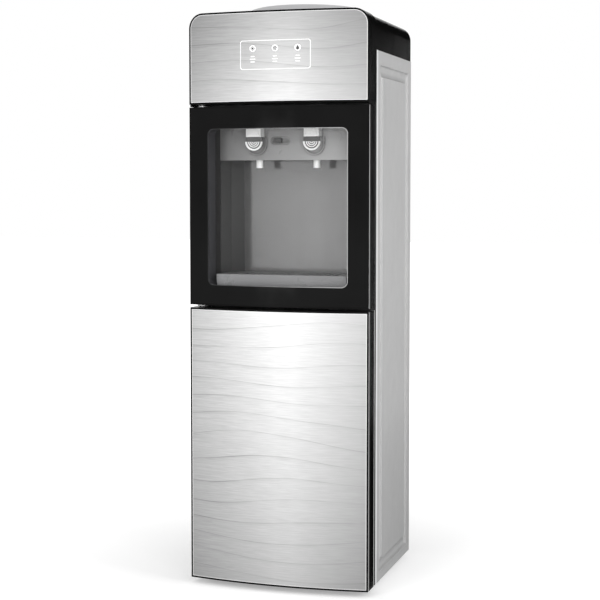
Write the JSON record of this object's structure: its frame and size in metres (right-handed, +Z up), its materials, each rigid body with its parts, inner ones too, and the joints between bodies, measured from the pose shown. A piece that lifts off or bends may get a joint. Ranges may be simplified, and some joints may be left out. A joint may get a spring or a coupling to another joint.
{
  "type": "water dispenser",
  "caption": "Floor-standing hot and cold water dispenser: bowed silver glass doors, black glass window onto a tap alcove, bottle collar on top, hinged doors, push taps, storage below.",
  "frame": {"origin": "on the floor under the middle of the outline", "axes": "+Z up, front towards -Y, +X to the right seen from the front"},
  "size_m": [0.314, 0.322, 0.9893],
  "materials": {
    "silver_glass": "silver brushed print behind clear glass, polished face",
    "black_glass": "clear glass with a black printed border",
    "black_plastic": "glossy black moulding",
    "grey_plastic": "mid grey satin moulding",
    "pale_plastic": "pale grey satin moulding",
    "trim_plastic": "light grey edge trim",
    "white_plastic": "white moulding",
    "dark_plastic": "dark moulding",
    "liner_plastic": "pale vacuum-formed liner",
    "grey_steel": "grey powder coat",
    "dark_steel": "dark powder coat",
    "black_steel": "black enamel",
    "zinc_steel": "galvanised sheet",
    "stainless": "drawn stainless steel",
    "copper": "bare copper tube",
    "rubber": "soft black rubber",
    "grey_rubber": "grey magnetic gasket",
    "silicone": "translucent silicone hose",
    "foam": "moulded insulating foam",
    "board_green": "circuit board",
    "light_guide": "milky light guide",
    "red_plastic": "red rocker",
    "green_plastic": "green rocker"
  },
  "bodies": {
    "cabinet": {"base_pan": "zinc_steel", "feet": "rubber", "left_side_panel": "grey_steel", "right_side_panel": "grey_steel", "rear_panel": "zinc_steel", "rear_screws": "zinc_steel", "front_frame": "dark_steel", "top_cover": "black_plastic", "fascia_frame": "black_plastic", "fascia_glass": "silver_glass", "indicator_board": "board_green", "indicator_lenses": "light_guide", "hinge_brackets": "zinc_steel", "alcove_liner": "grey_plastic", "storage_liner": "liner_plastic", "tap_panel": "grey_plastic", "tap_bezels": "dark_plastic", "tap_bodies": "white_plastic", "tap_nozzles": "white_plastic", "hot_tap_spring": "stainless", "cold_tap_spring": "stainless", "cold_tank": "stainless", "cold_tank_lid": "white_plastic", "tank_foam": "foam", "evaporator_coil": "copper", "hot_tank": "stainless", "water_hoses": "silicone", "drain_spouts": "white_plastic", "compressor": "black_steel", "compressor_grommets": "rubber", "terminal_cover": "dark_plastic", "refrigerant_pipes": "copper", "condenser_tube": "black_steel", "condenser_wires": "black_steel", "condenser_brackets": "dark_plastic", "power_box": "pale_plastic", "power_inlet": "dark_plastic", "switch_housing": "dark_plastic"},
    "glass_door": {"glass_door_frame": "black_plastic", "glass_door_back": "black_plastic", "glass_door_glass": "black_glass", "glass_door_gasket": "grey_rubber", "glass_door_trim": "trim_plastic"},
    "lower_door": {"lower_door_frame": "black_plastic", "lower_door_back": "liner_plastic", "lower_door_glass": "silver_glass", "lower_door_gasket": "grey_rubber", "lower_door_trim": "trim_plastic"},
    "hot_lever": {"hot_tap_lever": "dark_plastic"},
    "cold_lever": {"cold_tap_lever": "dark_plastic"},
    "hot_stem": {"hot_tap_stem": "white_plastic"},
    "cold_stem": {"cold_tap_stem": "white_plastic"},
    "lock": {"lock_slider": "dark_plastic"},
    "tray": {"drip_tray": "grey_plastic"},
    "grille": {"drip_grille": "grey_plastic"},
    "collar": {"bottle_collar": "pale_plastic"},
    "hot_rocker": {"hot_switch_rocker": "red_plastic"},
    "cold_rocker": {"cold_switch_rocker": "green_plastic"},
    "hot_plug": {"hot_drain_plug": "rubber"},
    "cold_plug": {"cold_drain_plug": "rubber"}
  },
  "joints": [
    {"name": "glass_door_hinge", "type": "hinge", "parent": "cabinet", "child": "glass_door", "pos_m": [-0.144, -0.122, 0.647], "axis": [0, 0, -1], "range_deg": [0, 100]},
    {"name": "lower_door_hinge", "type": "hinge", "parent": "cabinet", "child": "lower_door", "pos_m": [-0.144, -0.122, 0.24275], "axis": [0, 0, -1], "range_deg": [0, 100]},
    {"name": "hot_lever_press", "type": "hinge", "parent": "cabinet", "child": "hot_lever", "pos_m": [-0.051, -0.114, 0.772], "axis": [1, 0, 0], "range_deg": [0, 12.5]},
    {"name": "hot_stem_lift", "type": "slide", "parent": "cabinet", "child": "hot_stem", "axis": [0, 0, 1], "range_m": [0, 0.0049], "stiffness_N_per_m": 40, "springref_m": -0.003, "deforming": ["hot_tap_spring"]},
    {"name": "cold_lever_press", "type": "hinge", "parent": "cabinet", "child": "cold_lever", "pos_m": [0.051, -0.114, 0.772], "axis": [1, 0, 0], "range_deg": [0, 12.5]},
    {"name": "cold_stem_lift", "type": "slide", "parent": "cabinet", "child": "cold_stem", "axis": [0, 0, 1], "range_m": [0, 0.0049], "stiffness_N_per_m": 40, "springref_m": -0.003, "deforming": ["cold_tap_spring"]},
    {"name": "lock_slide", "type": "slide", "parent": "cabinet", "child": "lock", "axis": [1, 0, 0], "range_m": [0, 0.01]},
    {"name": "tray_lift", "type": "slide", "parent": "cabinet", "child": "tray", "axis": [0, 0, 1], "range_m": [0, 0.06]},
    {"name": "grille_lift", "type": "slide", "parent": "tray", "child": "grille", "axis": [0, 0, 1], "range_m": [0, 0.03]},
    {"name": "collar_lift", "type": "slide", "parent": "cabinet", "child": "collar", "axis": [0, 0, 1], "range_m": [0, 0.08]},
    {"name": "hot_switch_rock", "type": "hinge", "parent": "cabinet", "child": "hot_rocker", "pos_m": [0.096, 0.145, 0.85], "axis": [1, 0, 0], "range_deg": [0, 20]},
    {"name": "cold_switch_rock", "type": "hinge", "parent": "cabinet", "child": "cold_rocker", "pos_m": [0.12, 0.145, 0.85], "axis": [1, 0, 0], "range_deg": [0, 20]},
    {"name": "hot_plug_pull", "type": "slide", "parent": "cabinet", "child": "hot_plug", "axis": [0, 1, 0], "range_m": [0, 0.025]},
    {"name": "cold_plug_pull", "type": "slide", "parent": "cabinet", "child": "cold_plug", "axis": [0, 1, 0], "range_m": [0, 0.025]}
  ],
  "couplings": [
    {"joint": "hot_lever_press", "follows": "hot_stem_lift", "rad_per_m": 42.5},
    {"joint": "cold_lever_press", "follows": "cold_stem_lift", "rad_per_m": 42.5}
  ]
}
